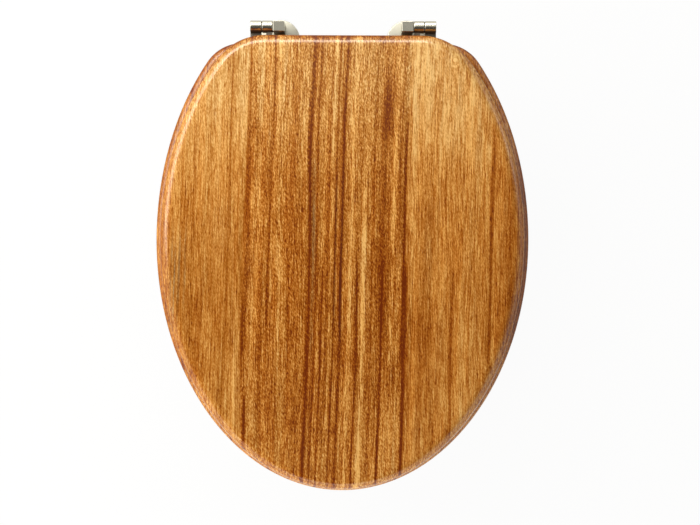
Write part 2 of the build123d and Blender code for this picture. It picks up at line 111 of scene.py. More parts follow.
class Graph:
    """A shader node tree with short calls that add nodes and join them."""

    def __init__(self, tree: bpy.types.NodeTree) -> None:
        """Keep the tree that the calls work on."""
        self.tree = tree

    def node(self, kind: str, **settings: object) -> bpy.types.Node:
        """Add a node.

        Args:
            kind: Blender's name of the node type.
            settings: properties to set on the node.

        Returns:
            The new node.
        """
        made = self.tree.nodes.new(kind)
        for key, value in settings.items():
            setattr(made, key, value)
        return made

    def feed(self, socket: Socket, value: Value) -> None:
        """Join an input to another socket, or set its constant.

        Args:
            socket: the input.
            value: an output socket, a number or a tuple of numbers.
        """
        if isinstance(value, bpy.types.NodeSocket):
            self.tree.links.new(value, socket)
        else:
            socket.default_value = value

    def math(self, operation: str, *values: Value) -> Socket:
        """Return the result of a Math node on these values."""
        made = self.node("ShaderNodeMath", operation=operation)
        for socket, value in zip(made.inputs, values):
            self.feed(socket, value)
        return made.outputs[0]

    def total(self, *values: Value) -> Socket:
        """Return the sum of several values."""
        result = values[0]
        for value in values[1:]:
            result = self.math("ADD", result, value)
        return result

    def vector(self, operation: str, *values: Value) -> Socket:
        """Return the vector result of a Vector Math node on these values."""
        made = self.node("ShaderNodeVectorMath", operation=operation)
        for socket, value in zip(made.inputs, values):
            self.feed(socket, value)
        return made.outputs["Vector"]

    def parts(self, vector: Socket) -> tuple[Socket, Socket, Socket]:
        """Return the X, Y and Z of a vector."""
        made = self.node("ShaderNodeSeparateXYZ")
        self.feed(made.inputs[0], vector)
        return made.outputs[0], made.outputs[1], made.outputs[2]

    def join(self, x: Value, y: Value, z: Value) -> Socket:
        """Return a vector made of three values."""
        made = self.node("ShaderNodeCombineXYZ")
        for socket, value in zip(made.inputs, (x, y, z)):
            self.feed(socket, value)
        return made.outputs[0]

    def noise(self, vector: Socket, scale: float, detail: float = 2.0, roughness: float = 0.5) -> Socket:
        """Return a noise value about zero.

        Args:
            vector: the place in the texture.
            scale: the noise's frequency.
            detail: the number of finer octaves.
            roughness: the weight of the finer octaves.

        Returns:
            A value from about -0.5 to 0.5.
        """
        made = self.node("ShaderNodeTexNoise", noise_dimensions="3D")
        self.feed(made.inputs["Vector"], vector)
        self.feed(made.inputs["Scale"], scale)
        self.feed(made.inputs["Detail"], detail)
        self.feed(made.inputs["Roughness"], roughness)
        return self.math("SUBTRACT", made.outputs[0], 0.5)

    def ease(self, value: Socket, start: Value, end: Value, low: Value = 0.0, high: Value = 1.0) -> Socket:
        """Return a smooth step of a value.

        Args:
            value: what is mapped.
            start: where the step begins.
            end: where the step ends.
            low: the result before start.
            high: the result after end.

        Returns:
            The stepped value.
        """
        made = self.node("ShaderNodeMapRange", interpolation_type="SMOOTHSTEP")
        for socket, given in zip(made.inputs, (value, start, end, low, high)):
            self.feed(socket, given)
        return made.outputs[0]

    def ramp(self, value: Socket, stops: tuple[tuple[float, Colour], ...]) -> Socket:
        """Return the colour of a ramp at a value.

        Args:
            value: the place on the ramp.
            stops: positions and their colours.

        Returns:
            The colour socket.
        """
        made = self.node("ShaderNodeValToRGB")
        elements = made.color_ramp.elements
        while len(elements) < len(stops):
            elements.new(1.0)
        for element, (position, colour) in zip(elements, stops):
            element.position = position
            element.color = colour
        self.feed(made.inputs[0], value)
        return made.outputs[0]

    def mix(self, factor: Value, first: Value, second: Value, blend: str = "MIX") -> Socket:
        """Return two colours mixed by a factor."""
        made = self.node("ShaderNodeMix", data_type="RGBA", blend_type=blend)
        for index, value in ((0, factor), (6, first), (7, second)):
            self.feed(made.inputs[index], value)
        return made.outputs[2]

    def bump(self, height: Socket, strength: float, distance: float) -> Socket:
        """Return a normal that follows a height.

        Args:
            height: the height value.
            strength: how much of the bump shows.
            distance: the height of a value of one, in metres.

        Returns:
            The normal socket.
        """
        made = self.node("ShaderNodeBump")
        self.feed(made.inputs["Strength"], strength)
        self.feed(made.inputs["Distance"], distance)
        self.feed(made.inputs["Height"], height)
        return made.outputs[0]

    def place(self, effect: "Effect", **values: Value) -> dict[str, Socket]:
        """Place an effect's node group here.

        Args:
            effect: the effect.
            values: its inputs by name, with underscores for spaces.

        Returns:
            The group's outputs by name.
        """
        made = self.node("ShaderNodeGroup", node_tree=effect.tree())
        for key, value in values.items():
            self.feed(made.inputs[key.replace("_", " ").title()], value)
        return {socket.name: socket for socket in made.outputs}


class Effect:
    """A shader node group with named inputs and outputs, built at its first use."""

    name: str = ""
    inputs: dict[str, str] = {}
    outputs: dict[str, str] = {}

    def tree(self) -> bpy.types.NodeTree:
        """Return the node group."""
        found = bpy.data.node_groups.get(self.name)
        if found is not None:
            return found
        tree = bpy.data.node_groups.new(self.name, "ShaderNodeTree")
        for label, kind in self.inputs.items():
            tree.interface.new_socket(label, in_out="INPUT", socket_type=f"NodeSocket{kind}")
        for label, kind in self.outputs.items():
            tree.interface.new_socket(label, in_out="OUTPUT", socket_type=f"NodeSocket{kind}")
        graph = Graph(tree)
        entry = {socket.name: socket for socket in graph.node("NodeGroupInput").outputs if socket.name}
        leave = graph.node("NodeGroupOutput")
        for label, socket in self.wire(graph, entry).items():
            graph.feed(leave.inputs[label], socket)
        return tree

    def wire(self, graph: Graph, entry: dict[str, Socket]) -> dict[str, Socket]:
        """Add the group's nodes.

        Args:
            graph: the group's tree.
            entry: the group's inputs by name.

        Returns:
            What each output takes, by name.
        """
        raise NotImplementedError


class GrainLines(Effect):
    """The run of the fibres through a board and the marks that they leave, from ribbons to flecks.

    The size of a mark is its width and length in mm. Its slip is the mm that it shifts along the grain for
    each mm across, so that the ends of marks don't line up.
    """

    name: str = "Grain lines"
    inputs: dict[str, str] = {"Position": "Vector", "Shift": "Vector", "Knot": "Vector"}
    places: tuple[str, ...] = ("Across", "Along")
    marks: tuple[str, ...] = (
        "Ribbon", "Line", "Fibre", "Fleck", "Pore", "Mottle", "Hue", "Smoke", "Knot Ring"
    )
    outputs: dict[str, str] = dict.fromkeys(places + marks, "Float")
    lean: float = 0.028
    lean_middle: float = -222.0
    slow_wander: float = 9.0
    slow_size: Pair = (120.0, 240.0)
    quick_wander: float = 1.4
    quick_size: Pair = (25.0, 70.0)
    knot_size: float = 5.0
    knot_squash: float = 0.35
    knot_push: float = 3.5
    knot_wobble: float = 4.0
    wobble_size: Pair = (2.5, 3.5)
    ring_rate: float = 2.0
    ribbon_size: Pair = (12.0, 330.0)
    line_size: Pair = (1.5, 80.0)
    line_slip: float = 21.0
    fibre_size: Pair = (1.1, 16.0)
    fibre_slip: float = 6.3
    fleck_size: Pair = (1.15, 2.6)
    fleck_slip: float = 0.9
    pore_size: Pair = (1.1, 8.0)
    pore_edge: Pair = (0.10, 0.20)
    hue_size: Pair = (5.0, 150.0)
    smoke_size: Pair = (7.0, 90.0)
    smoke_edge: Pair = (0.02, 0.20)
    mottle_size: Pair = (26.0, 75.0)
    depth_stretch: float = 3.0

    def layer(
        self,
        graph: Graph,
        place: tuple[Socket, Socket, Socket],
        size: Pair,
        detail: float = 2.0,
        slip: float = 0.0,
    ) -> Socket:
        """Return noise drawn out along the grain.

        Args:
            graph: the group's tree.
            place: across, along and up, in mm.
            size: the marks' width and length in mm.
            detail: the number of finer octaves.
            slip: the shift along the grain for each mm across.

        Returns:
            A value from about -0.5 to 0.5.
        """
        across, along, up = place
        width, length = size
        slipped = graph.math("MULTIPLY_ADD", across, slip, along)
        stretched = graph.join(
            graph.math("DIVIDE", across, width),
            graph.math("DIVIDE", slipped, length),
            graph.math("DIVIDE", up, width * self.depth_stretch),
        )
        return graph.noise(stretched, 1.0, detail)

    def wire(self, graph: Graph, entry: dict[str, Socket]) -> dict[str, Socket]:
        """Add the nodes that bend the grain and draw its layers."""
        here = graph.vector("SCALE", entry["Position"])
        here.node.inputs["Scale"].default_value = MM_PER_M
        knot_x, knot_y, _ = graph.parts(graph.vector("SUBTRACT", here, entry["Knot"]))
        radius = graph.math("SQRT", graph.total(
            graph.math("MULTIPLY", knot_x, knot_x),
            graph.math("MULTIPLY", graph.math("MULTIPLY", knot_y, knot_y), self.knot_squash),
        ))
        near = graph.math("EXPONENT", graph.math("DIVIDE", radius, -self.knot_size))
        x, y, z = graph.parts(graph.vector("ADD", here, entry["Shift"]))
        leaning = graph.math("MULTIPLY", graph.math("SUBTRACT", y, self.lean_middle), self.lean)
        straight = graph.math("SUBTRACT", x, leaning)
        slow = self.layer(graph, (straight, y, z), self.slow_size, detail=1.0)
        quick = self.layer(graph, (straight, y, z), self.quick_size, detail=1.0)
        side = graph.math("DIVIDE", knot_x, graph.math("ADD", radius, 1.0))
        across = graph.total(
            straight,
            graph.math("MULTIPLY", slow, self.slow_wander),
            graph.math("MULTIPLY", quick, self.quick_wander),
            graph.math("MULTIPLY", graph.math("MULTIPLY", side, near), -self.knot_push),
        )
        place = (across, y, z)
        uneven = graph.math("MULTIPLY", self.layer(graph, (x, y, z), self.wobble_size), self.knot_wobble)
        turn = graph.math("MULTIPLY", graph.math("ADD", radius, uneven), self.ring_rate)
        rings = graph.math("MULTIPLY", graph.math("SINE", turn), near)
        return {
            "Across": across,
            "Along": graph.math("MULTIPLY", y, -1.0),
            "Ribbon": self.layer(graph, place, self.ribbon_size),
            "Line": self.layer(graph, place, self.line_size, slip=self.line_slip),
            "Fibre": self.layer(graph, place, self.fibre_size, slip=self.fibre_slip),
            "Fleck": self.layer(graph, place, self.fleck_size, slip=self.fleck_slip),
            "Pore": graph.ease(self.layer(graph, place, self.pore_size, detail=1.0), *self.pore_edge),
            "Hue": self.layer(graph, place, self.hue_size, detail=3.0),
            "Smoke": graph.ease(self.layer(graph, place, self.smoke_size), *self.smoke_edge),
            "Mottle": self.layer(graph, place, self.mottle_size),
            "Knot Ring": rings,
        }


class GrainStreak(Effect):
    """One dark or pale streak that follows the grain over part of a board's length."""

    name: str = "Grain streak"
    inputs: dict[str, str] = dict.fromkeys(
        ("Across", "Along", "Centre", "Width", "Depth", "Start", "End"), "Float"
    )
    outputs: dict[str, str] = {"Tone": "Float"}
    fade: float = 45.0

    def wire(self, graph: Graph, entry: dict[str, Socket]) -> dict[str, Socket]:
        """Add the nodes of a bell-shaped section with soft ends."""
        offset = graph.math("SUBTRACT", entry["Across"], entry["Centre"])
        reach = graph.math("DIVIDE", offset, entry["Width"])
        bell = graph.math("EXPONENT", graph.math("MULTIPLY", graph.math("MULTIPLY", reach, reach), -1.0))
        fade_in = graph.ease(
            entry["Along"], graph.math("SUBTRACT", entry["Start"], self.fade), entry["Start"]
        )
        fade_out = graph.ease(
            entry["Along"], entry["End"], graph.math("ADD", entry["End"], self.fade), 1.0, 0.0
        )
        window = graph.math("MULTIPLY", fade_in, fade_out)
        return {"Tone": graph.math("MULTIPLY", graph.math("MULTIPLY", bell, entry["Depth"]), window)}


class Handling(Effect):
    """Faint smears and hairline scratches on a surface that is wiped and touched."""

    name: str = "Handling"
    inputs: dict[str, str] = {"Position": "Vector"}
    outputs: dict[str, str] = {"Smear": "Float", "Scratch": "Float"}
    smear_scale: float = 55.0
    scratch_squeeze: float = 30.0
    lengthways_scale: float = 260.0
    crossways_scale: float = 220.0

    def wire(self, graph: Graph, entry: dict[str, Socket]) -> dict[str, Socket]:
        """Add the nodes of broad smears and of fine scratches in two directions."""
        smear = graph.noise(entry["Position"], self.smear_scale, detail=3.0, roughness=0.6)
        x, y, z = graph.parts(entry["Position"])
        narrow_x = graph.math("MULTIPLY", x, self.scratch_squeeze)
        narrow_y = graph.math("MULTIPLY", y, self.scratch_squeeze)
        lengthways = graph.noise(graph.join(narrow_x, y, z), self.lengthways_scale, detail=1.0)
        crossways = graph.noise(graph.join(x, narrow_y, z), self.crossways_scale, detail=1.0)
        return {"Smear": smear, "Scratch": graph.math("ADD", lengthways, crossways)}


class MouldSkin(Effect):
    """The fine pebbled skin and slow unevenness of a moulded surface."""

    name: str = "Mould skin"
    inputs: dict[str, str] = {"Position": "Vector"}
    outputs: dict[str, str] = {"Pebble": "Float", "Cloud": "Float"}
    pebble_scale: float = 2600.0
    cloud_scale: float = 160.0

    def wire(self, graph: Graph, entry: dict[str, Socket]) -> dict[str, Socket]:
        """Add the nodes of the pebble and the cloud."""
        return {
            "Pebble": graph.noise(entry["Position"], self.pebble_scale, detail=2.0, roughness=0.6),
            "Cloud": graph.noise(entry["Position"], self.cloud_scale, detail=3.0, roughness=0.55),
        }


GRAIN_LINES = GrainLines()
GRAIN_STREAK = GrainStreak()
HANDLING = Handling()
MOULD_SKIN = MouldSkin()


@dataclass(frozen=True)
class Finish:
    """A surface finish that becomes one material."""

    name: str

    def material(self) -> bpy.types.Material:
        """Return the finish's material, made at its first use."""
        found = bpy.data.materials.get(self.name)
        if found is not None:
            return found
        made = bpy.data.materials.new(self.name)
        made.use_nodes = True
        graph = Graph(made.node_tree)
        shader = made.node_tree.nodes["Principled BSDF"]
        position = graph.node("ShaderNodeTexCoord").outputs["Object"]
        self.wire(graph, shader, position)
        return made

    def wire(self, graph: Graph, shader: bpy.types.Node, position: Socket) -> None:
        """Set and join the shader's inputs.

        Args:
            graph: the material's tree.
            shader: its Principled BSDF.
            position: the place on the piece in the part's frame, in metres.
        """
        raise NotImplementedError


@dataclass(frozen=True)
class Mark:
    """A mark of a board: centre across, half width, start and end in mm, and depth in units of the ramp."""

    centre: float
    width: float
    depth: float
    start: float
    end: float

    def inputs(self) -> dict[str, float]:
        """Return the mark's values by the names of the streak's inputs."""
        return asdict(self)


@dataclass(frozen=True)
class Streak:
    """A streak of a board: place across and half width in mm, depth in units of the ramp, and stretch."""

    across: float
    width: float
    depth: float
    stretch: Stretch = Stretch.WHOLE

    def mark(self, narrowing: float) -> Mark:
        """Return the streak as a mark with its width narrowed."""
        return Mark(self.across, self.width * narrowing, self.depth, *self.stretch.value)


@dataclass(frozen=True)
class Stave:
    """A strip that a board is glued up from: left edge in mm, tone, strength of grain and golden hue."""

    left_edge: float
    tone: float
    fleck: float
    fibre: float
    gold: float = 0.5


@dataclass(frozen=True)
class LacqueredWood(Finish):
    """Oiled hardwood staves under gloss lacquer.

    A field that ends in _over is the range that a change takes, in mm to the front of the studs for the
    paler, tinted back and the paler front, and as a share of the normal for edges and lacquer. The paler
    back is partly the wood's tone and partly painted light; the paler front is painted light.
    """

    shift: tuple[float, float, float] = (0.0, 0.0, 0.0)
    knot: tuple[float, float, float] = (0.0, 0.0, 0.0)
    staves: tuple[Stave, ...] = ()
    streaks: tuple[Streak, ...] = ()
    marks: tuple[Mark, ...] = ()
    ashes: tuple[Mark, ...] = ()
    ash: Colour = (0.46, 0.58, 1.00, 1.0)
    bloom: Colour = (0.004, 0.004, 0.007, 1.0)
    smoke: float = 0.12
    # Tint and paler tone at the back: partly the wood's own colour, partly painted light from the back
    # lamps.
    fade: float = 1.0
    back_tint_and_light_over: Pair = (0.0, 160.0)
    faded: Colour = (1.04, 1.20, 1.55, 1.0)
    back_pale_and_light: float = 0.19
    back_pale_and_light_over: Pair = (0.0, 260.0)
    # Paler front: painted light, standing in for the front light and the floor's bounce.
    front_painted_light: float = 0.09
    front_painted_light_over: Pair = (300.0, 440.0)
    ribbon: float = 0.55
    line: float = 0.72
    mottle: float = 0.55
    pore: float = -0.30
    knot_ring: float = 0.30
    # Darker sides and back edge: partly stain and end grain, partly painted shade.
    side_stain_and_shade: float = -0.10
    side_stain_and_shade_over: Pair = (0.15, 0.9)
    end_grain_and_shade: float = -0.40
    end_grain_and_shade_over: Pair = (0.35, 0.95)
    # Paler front-facing edges: painted highlight.
    worn: float = 0.08
    worn_over: Pair = (-0.85, -0.20)
    roughness: float = 0.42
    smear: float = 0.15
    fleck_bump: float = 0.12
    fleck_height: float = 0.2 * MM
    bare_gloss: float = 0.05
    coat_roughness: float = 0.17
    coat_ior: float = 1.62
    end_lacquer: float = 0.2
    end_lacquer_over: Pair = (0.60, 0.92)
    side_lacquer: float = 0.16
    side_lacquer_over: Pair = (0.58, 0.84)
    front_lacquer: float = 0.75
    front_lacquer_over: Pair = (-0.60, -0.15)
    hue: float = 1.8
    ruddy: Colour = (1.04, 0.92, 0.70, 1.0)
    golden: Colour = (0.98, 1.04, 1.13, 1.0)
    streak_gain: float = 1.8
    streak_width: float = 0.78
    streak_wear: Pair = (2.6, 2.4)
    joint_width: float = 1.2
    stops: tuple[tuple[float, Colour], ...] = (
        (0.0, (0.156, 0.023, 0.0004, 1.0)),
        (0.2, (0.236, 0.048, 0.0010, 1.0)),
        (0.4, (0.347, 0.096, 0.0055, 1.0)),
        (0.6, (0.478, 0.170, 0.0240, 1.0)),
        (0.8, (0.614, 0.265, 0.0560, 1.0)),
        (1.0, (0.775, 0.400, 0.1180, 1.0)),
        (1.2, (0.885, 0.515, 0.1750, 1.0)),
    )

    def stave_step(self, graph: Graph, across: Socket, quality: str) -> Socket:
        """Return a quality of the staves at a place across the board.

        Args:
            graph: the material's tree.
            across: the place across the grain, in mm.
            quality: the name of the Stave field.

        Returns:
            The value, which steps at each glue line.
        """
        result: Value = getattr(self.staves[0], quality)
        for before, stave in zip(self.staves, self.staves[1:]):
            rise = getattr(stave, quality) - getattr(before, quality)
            half = self.joint_width / 2
            step = graph.ease(across, stave.left_edge - half, stave.left_edge + half, 0.0, rise)
            result = graph.math("ADD", step, result)
        return result

    def mark_tone(self, graph: Graph, grain: dict[str, Socket], marks: Sequence[Mark]) -> Socket:
        """Return the sum of some marks of the board, which the finer grain breaks up.

        Args:
            graph: the material's tree.
            grain: the outputs of the grain lines.
            marks: the marks.

        Returns:
            The tone that they add.
        """
        place = {"across": grain["Across"], "along": grain["Along"]}
        tones = [graph.place(GRAIN_STREAK, **place, **mark.inputs())["Tone"] for mark in marks]
        fine, broad = self.streak_wear
        wear = graph.total(
            1.0,
            graph.math("MULTIPLY", grain["Fibre"], fine),
            graph.math("MULTIPLY", grain["Mottle"], broad),
        )
        strength = graph.math("MULTIPLY", graph.math("MAXIMUM", wear, 0.0), self.streak_gain)
        return graph.math("MULTIPLY", graph.total(0.0, *tones), strength)

    def edge_tone(self, graph: Graph, back: Socket, up: Socket) -> Socket:
        """Return the tone of the board's edges: darker, partly stain and end grain and partly painted
        shade, most of all at the back, and paler in front, which is painted light.

        Args:
            graph: the material's tree.
            back: the share of the normal that points to the back.
            up: the share of the normal that points up.

        Returns:
            The tone that the edges add.
        """
        # Darker sides and back edge: partly stain and end grain, partly painted shade.
        sides = graph.ease(graph.math("ABSOLUTE", up), *self.side_stain_and_shade_over, self.side_stain_and_shade, 0.0)
        ends = graph.ease(back, *self.end_grain_and_shade_over, 0.0, self.end_grain_and_shade)
        # The last term paints a highlight on the front-facing edges.
        return graph.total(sides, ends, graph.ease(back, *self.worn_over, self.worn, 0.0))

    def lacquer(self, graph: Graph, back: Socket, up: Socket) -> Socket:
        """Return how much lacquer covers the board: less on its sides, least on the edge at the hinges.

        Args:
            graph: the material's tree.
            back: the share of the normal that points to the back.
            up: the share of the normal that points up.

        Returns:
            The weight of the coat.
        """
        ends = graph.ease(back, *self.end_lacquer_over, 1.0, self.end_lacquer)
        sides = graph.ease(graph.math("ABSOLUTE", up), *self.side_lacquer_over, self.side_lacquer, 1.0)
        front = graph.ease(back, *self.front_lacquer_over, self.front_lacquer, 0.0)
        return graph.math("MULTIPLY", ends, graph.math("MAXIMUM", sides, front))

    def tone(self, graph: Graph, grain: dict[str, Socket], edges: Socket) -> Socket:
        """Return the wood's tone, from dark to pale, as the sum of its layers.

        Args:
            graph: the material's tree.
            grain: the outputs of the grain lines.
            edges: the tone that the board's edges add.

        Returns:
            The place on the ramp that the stops make.
        """
        across, along = grain["Across"], grain["Along"]
        return graph.total(
            self.stave_step(graph, across, "tone"),
            # Paler back: partly the wood's tone, partly painted light.
            graph.ease(along, *self.back_pale_and_light_over, self.back_pale_and_light, 0.0),
            # Paler front: painted light.
            graph.ease(along, *self.front_painted_light_over, 0.0, self.front_painted_light),
            graph.math("MULTIPLY", grain["Ribbon"], self.ribbon),
            graph.math("MULTIPLY", grain["Line"], self.line),
            graph.math("MULTIPLY", grain["Mottle"], self.mottle),
            graph.math("MULTIPLY", grain["Knot Ring"], self.knot_ring),
            graph.math("MULTIPLY", grain["Pore"], self.pore),
            graph.math("MULTIPLY", grain["Fleck"], self.stave_step(graph, across, "fleck")),
            graph.math("MULTIPLY", grain["Fibre"], self.stave_step(graph, across, "fibre")),
            self.mark_tone(graph, grain, [streak.mark(self.streak_width) for streak in self.streaks]),
            self.mark_tone(graph, grain, self.marks),
            edges,
        )

    def colour(self, graph: Graph, grain: dict[str, Socket], tone: Socket) -> Socket:
        """Return the wood's colour: golden or ruddy by stave and hue, greyed by smoke, paler and yellower
        at the back, partly as painted light.

        Args:
            graph: the material's tree.
            grain: the outputs of the grain lines.
            tone: the place on the ramp.

        Returns:
            The colour socket.
        """
        stave_gold = self.stave_step(graph, grain["Across"], "gold")
        gold = graph.math("MULTIPLY_ADD", grain["Hue"], self.hue, stave_gold)
        tint = graph.mix(gold, self.ruddy, self.golden)
        palest, _ = self.stops[-1]
        steps = tuple((place / palest, colour) for place, colour in self.stops)
        wood = graph.ramp(graph.math("DIVIDE", tone, palest), steps)
        warm = graph.mix(1.0, wood, tint, "MULTIPLY")
        grey = graph.total(
            graph.math("MULTIPLY", grain["Smoke"], self.smoke),
            self.mark_tone(graph, grain, self.ashes),
        )
        dulled = graph.mix(1.0, graph.mix(1.0, warm, self.ash, "MULTIPLY"), self.bloom, "ADD")
        aged = graph.mix(graph.math("MINIMUM", grey, 1.0), warm, dulled)
        # Tint at the back: partly the wood's colour, partly painted light.
        faded = graph.ease(grain["Along"], *self.back_tint_and_light_over, self.fade, 0.0)
        return graph.mix(faded, aged, self.faded, "MULTIPLY")

    def wire(self, graph: Graph, shader: bpy.types.Node, position: Socket) -> None:
        """Colour the wood by its tone and put the lacquer over it."""
        grain = graph.place(GRAIN_LINES, position=position, shift=self.shift, knot=self.knot)
        _, back, up = graph.parts(graph.node("ShaderNodeTexCoord").outputs["Normal"])
        tone = self.tone(graph, grain, self.edge_tone(graph, back, up))
        handling = graph.place(HANDLING, position=position)
        graph.feed(shader.inputs["Base Color"], self.colour(graph, grain, tone))
        graph.feed(
            shader.inputs["Roughness"],
            graph.math("MULTIPLY_ADD", handling["Smear"], self.smear, self.roughness),
        )
        graph.feed(shader.inputs["Normal"], graph.bump(grain["Fleck"], self.fleck_bump, self.fleck_height))
        graph.feed(shader.inputs["Coat Weight"], self.lacquer(graph, back, up))
        shader.inputs["Specular IOR Level"].default_value = self.bare_gloss
        shader.inputs["Coat Roughness"].default_value = self.coat_roughness
        shader.inputs["Coat IOR"].default_value = self.coat_ior


@dataclass(frozen=True)
class PolishedMetal(Finish):
    """Polished, ground or plated metal, satin below a height, and rough with painted shade between two
    places along Y.
    """

    bright: Colour = (0.80, 0.775, 0.69, 1.0)
    dull: Colour = (0.72, 0.69, 0.60, 1.0)
    evenness: float = 0.5
    patchiness: float = 2.0
    roughness: float = 0.14
    smear: float = 0.16
    scratch: float = 0.05
    scratch_height: float = 0.05 * MM
    satin_below: float = -1.0
    satin: float = 0.30
    grazing: Colour = (0.50, 0.48, 0.42, 1.0)
    grey: Colour = (0.60, 0.58, 0.51, 1.0)
    # Between these two places along Y the metal is dark and rough; the dark is painted shade.
    raw_before: float = -1.0
    raw_after: float = -2.0
    raw: Colour = (0.20, 0.18, 0.155, 1.0)

    def wire(self, graph: Graph, shader: bpy.types.Node, position: Socket) -> None:
        """Vary the colour and polish with handling, take the polish off where it is satin, and paint shade
        and roughen between the two places along Y.
        """
        handling = graph.place(HANDLING, position=position)
        amount = graph.math("MULTIPLY_ADD", handling["Smear"], self.patchiness, self.evenness)
        _, depth, height = graph.parts(position)
        # The zone between the two places along Y: painted shade in the colour, and rougher.
        painted_shade_zone = graph.math(
            "MULTIPLY",
            graph.ease(depth, self.raw_before - MM, self.raw_before, 1.0, 0.0),
            graph.ease(depth, self.raw_after - MM, self.raw_after, 0.0, 1.0),
        )
        low = graph.ease(height, self.satin_below, self.satin_below + MM, 1.0, 0.0)
        plated = graph.mix(low, graph.mix(amount, self.bright, self.dull), self.grey)
        graph.feed(shader.inputs["Base Color"], graph.mix(painted_shade_zone, plated, self.raw))
        satin = graph.math("MULTIPLY", graph.math("MAXIMUM", low, painted_shade_zone), self.satin)
        graph.feed(
            shader.inputs["Roughness"],
            graph.total(graph.math("MULTIPLY_ADD", handling["Smear"], self.smear, self.roughness), satin),
        )
        scratched = graph.bump(handling["Scratch"], self.scratch, self.scratch_height)
        graph.feed(shader.inputs["Normal"], scratched)
        shader.inputs["Specular Tint"].default_value = self.grazing
        shader.inputs["Metallic"].default_value = 1.0


@dataclass(frozen=True)
class Moulded(Finish):
    """Moulded plastic or rubber with a pebbled skin."""

    pale: Colour = (0.80, 0.80, 0.77, 1.0)
    deep: Colour = (0.70, 0.70, 0.66, 1.0)
    evenness: float = 0.5
    patchiness: float = 1.8
    roughness: float = 0.45
    clouding: float = 0.2
    pebble: float = 0.2
    pebble_height: float = 0.1 * MM
    translucent: float = 0.0
    translucent_depth: float = 2.0 * MM

    def wire(self, graph: Graph, shader: bpy.types.Node, position: Socket) -> None:
        """Cloud the colour and pebble the skin."""
        skin = graph.place(MOULD_SKIN, position=position)
        amount = graph.math("MULTIPLY_ADD", skin["Cloud"], self.patchiness, self.evenness)
        graph.feed(shader.inputs["Base Color"], graph.mix(amount, self.pale, self.deep))
        graph.feed(
            shader.inputs["Roughness"],
            graph.math("MULTIPLY_ADD", skin["Cloud"], self.clouding, self.roughness),
        )
        graph.feed(shader.inputs["Normal"], graph.bump(skin["Pebble"], self.pebble, self.pebble_height))
        shader.inputs["Subsurface Weight"].default_value = self.translucent
        shader.inputs["Subsurface Scale"].default_value = self.translucent_depth


LID_WOOD = LacqueredWood(
    name="lid_lacquered_wood",
    knot=(109.5, -26.0, 52.0),
    staves=(
        Stave(left_edge=-400.0, tone=0.655, fleck=1.00, fibre=1.05, gold=0.74),
        Stave(left_edge=-95.5, tone=0.55, fleck=1.75, fibre=1.40, gold=0.52),
        Stave(left_edge=61.5, tone=0.66, fleck=1.05, fibre=1.30, gold=0.42),
    ),
    streaks=(
        Streak(-113.0, 2.0, -0.12),
        Streak(-102.5, 3.0, 0.05),
        Streak(-96.0, 1.8, -0.22, Stretch.BACK),
        Streak(-93.5, 1.8, -0.14, Stretch.MIDDLE),
        Streak(-84.0, 2.2, 0.10, Stretch.BACK_HALF),
        Streak(-78.5, 1.8, -0.12, Stretch.FRONT),
        Streak(-72.3, 1.7, -0.26, Stretch.BACK_HALF),
        Streak(-61.5, 2.6, 0.10, Stretch.MIDDLE),
        Streak(-52.5, 2.4, -0.06),
        Streak(-33.5, 2.7, -0.34),
        Streak(-26.4, 1.6, -0.24),
        Streak(-20.0, 1.5, -0.26, Stretch.FRONT),
        Streak(-15.0, 1.8, -0.12),
        Streak(-11.5, 1.6, 0.12),
        Streak(-7.6, 1.4, -0.26),
        Streak(-0.8, 2.1, -0.29),
        Streak(9.0, 3.0, 0.14),
        Streak(16.0, 1.6, -0.22, Stretch.FRONT),
        Streak(22.0, 2.4, 0.20, Stretch.FRONT_HALF),
        Streak(30.0, 1.6, -0.10),
        Streak(40.0, 6.0, -0.12, Stretch.BACK_HALF),
        Streak(40.0, 1.4, -0.30, Stretch.FRONT),
        Streak(50.0, 2.6, 0.18, Stretch.MIDDLE),
        Streak(56.0, 3.0, -0.14, Stretch.BACK),
        Streak(60.3, 1.6, -0.34, Stretch.MIDDLE),
        Streak(62.6, 2.2, -0.34, Stretch.FRONT),
        Streak(67.5, 2.5, 0.10, Stretch.BACK_HALF),
        Streak(79.0, 2.2, -0.10, Stretch.FRONT),
        Streak(108.0, 1.8, -0.16, Stretch.FRONT),
        Streak(146.5, 2.4, -0.22, Stretch.MIDDLE),
    ),
    marks=(
        Mark(42.0, 5.0, -0.22, 68.0, 78.0),
        Mark(-96.0, 1.5, -0.25, 285.0, 305.0),
        Mark(-92.0, 1.8, -0.30, 372.0, 385.0),
        Mark(100.0, 1.1, -0.25, 146.0, 156.0),
        # A darker band along the lid's right rim: painted shade.
        Mark(166.0, 6.0, -0.10, 150.0, 290.0),
        Mark(115.0, 38.0, 0.03, -40.0, 90.0),
    ),
    ashes=(
        Mark(-168.0, 0.9, 0.30, 225.0, 250.0),
        Mark(-164.5, 1.0, 0.34, 235.0, 265.0),
        Mark(-160.0, 1.1, 0.34, 225.0, 255.0),
        Mark(-154.5, 1.2, 0.24, 215.0, 240.0),
        Mark(-29.5, 2.0, 0.30, 150.0, 290.0),
        Mark(-6.8, 1.2, 0.18, 150.0, 260.0),
        Mark(-0.8, 1.3, 0.20, 150.0, 280.0),
    ),
)

